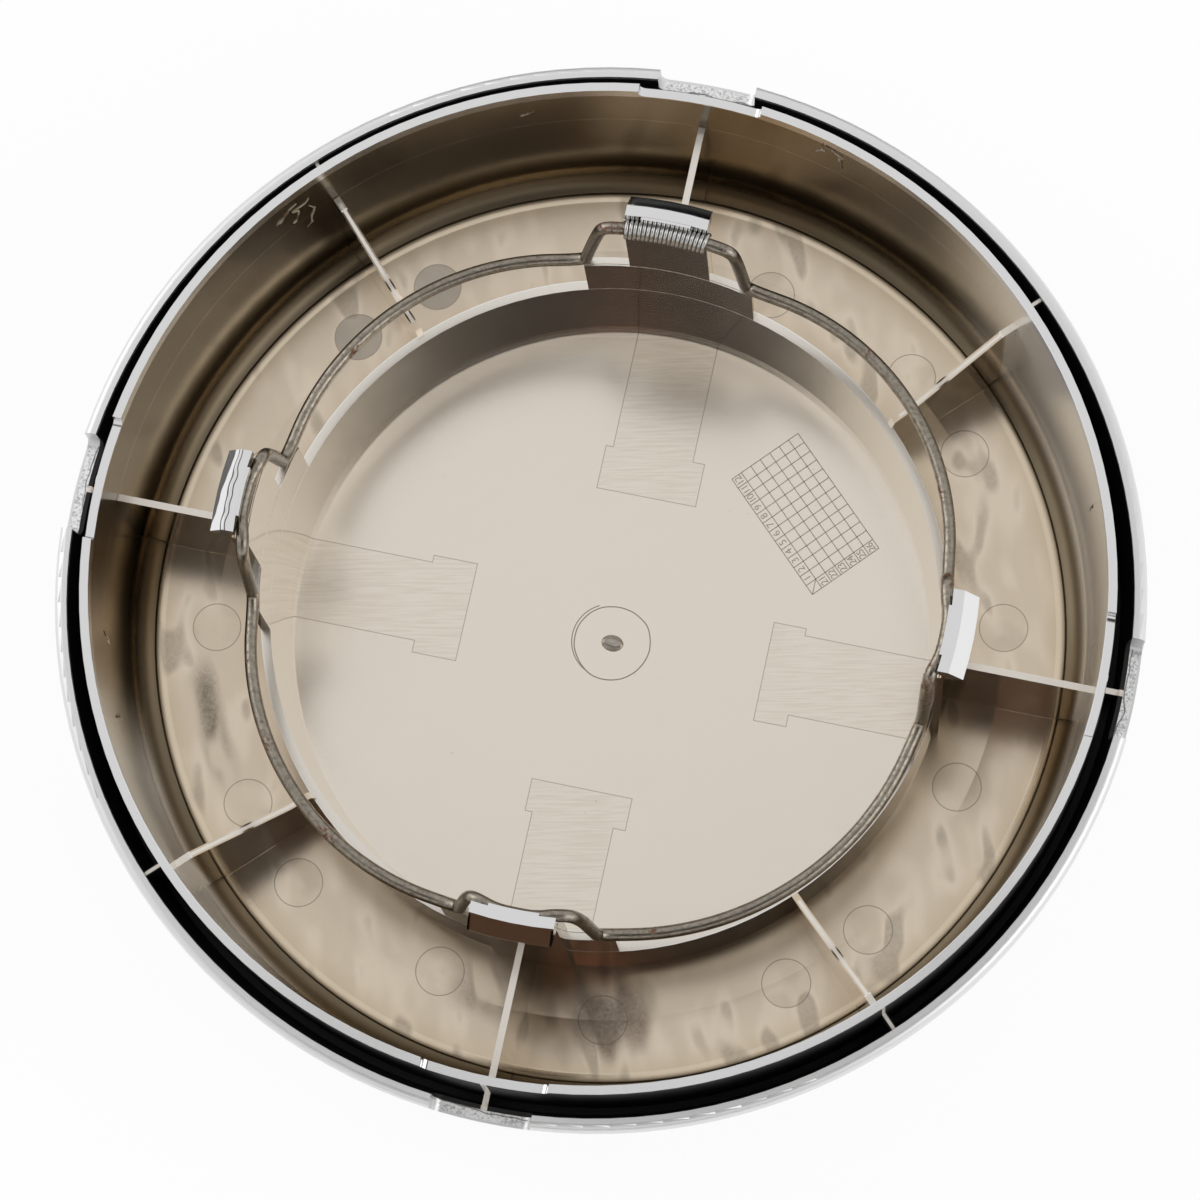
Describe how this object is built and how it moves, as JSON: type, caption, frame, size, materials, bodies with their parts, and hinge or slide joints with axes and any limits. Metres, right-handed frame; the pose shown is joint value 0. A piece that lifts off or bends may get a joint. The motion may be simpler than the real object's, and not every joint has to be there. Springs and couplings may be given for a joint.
{
  "type": "wheel centre cap",
  "caption": "Deep round wheel centre cap, hub side up: plated moulding with ribs, hub ring and sprung clip legs, a bent retaining wire and a coil joining its ends.",
  "frame": {"origin": "centre of the front boss's face, on which the cap lies", "axes": "+Z from the front towards the hub, +Y towards the clip leg with the coil, +X towards the next leg clockwise seen from the hub side"},
  "size_m": [0.1696, 0.1696, 0.055],
  "materials": {
    "plated_body": "plated plastic, bright on the rim and satin warm nickel inside",
    "wire_steel": "bare drawn wire with rust spots",
    "coil_steel": "bright drawn wire"
  },
  "bodies": {
    "root": {"cap_body": "plated_body", "retaining_wire": "wire_steel", "coil_spring": "coil_steel"}
  },
  "joints": []
}
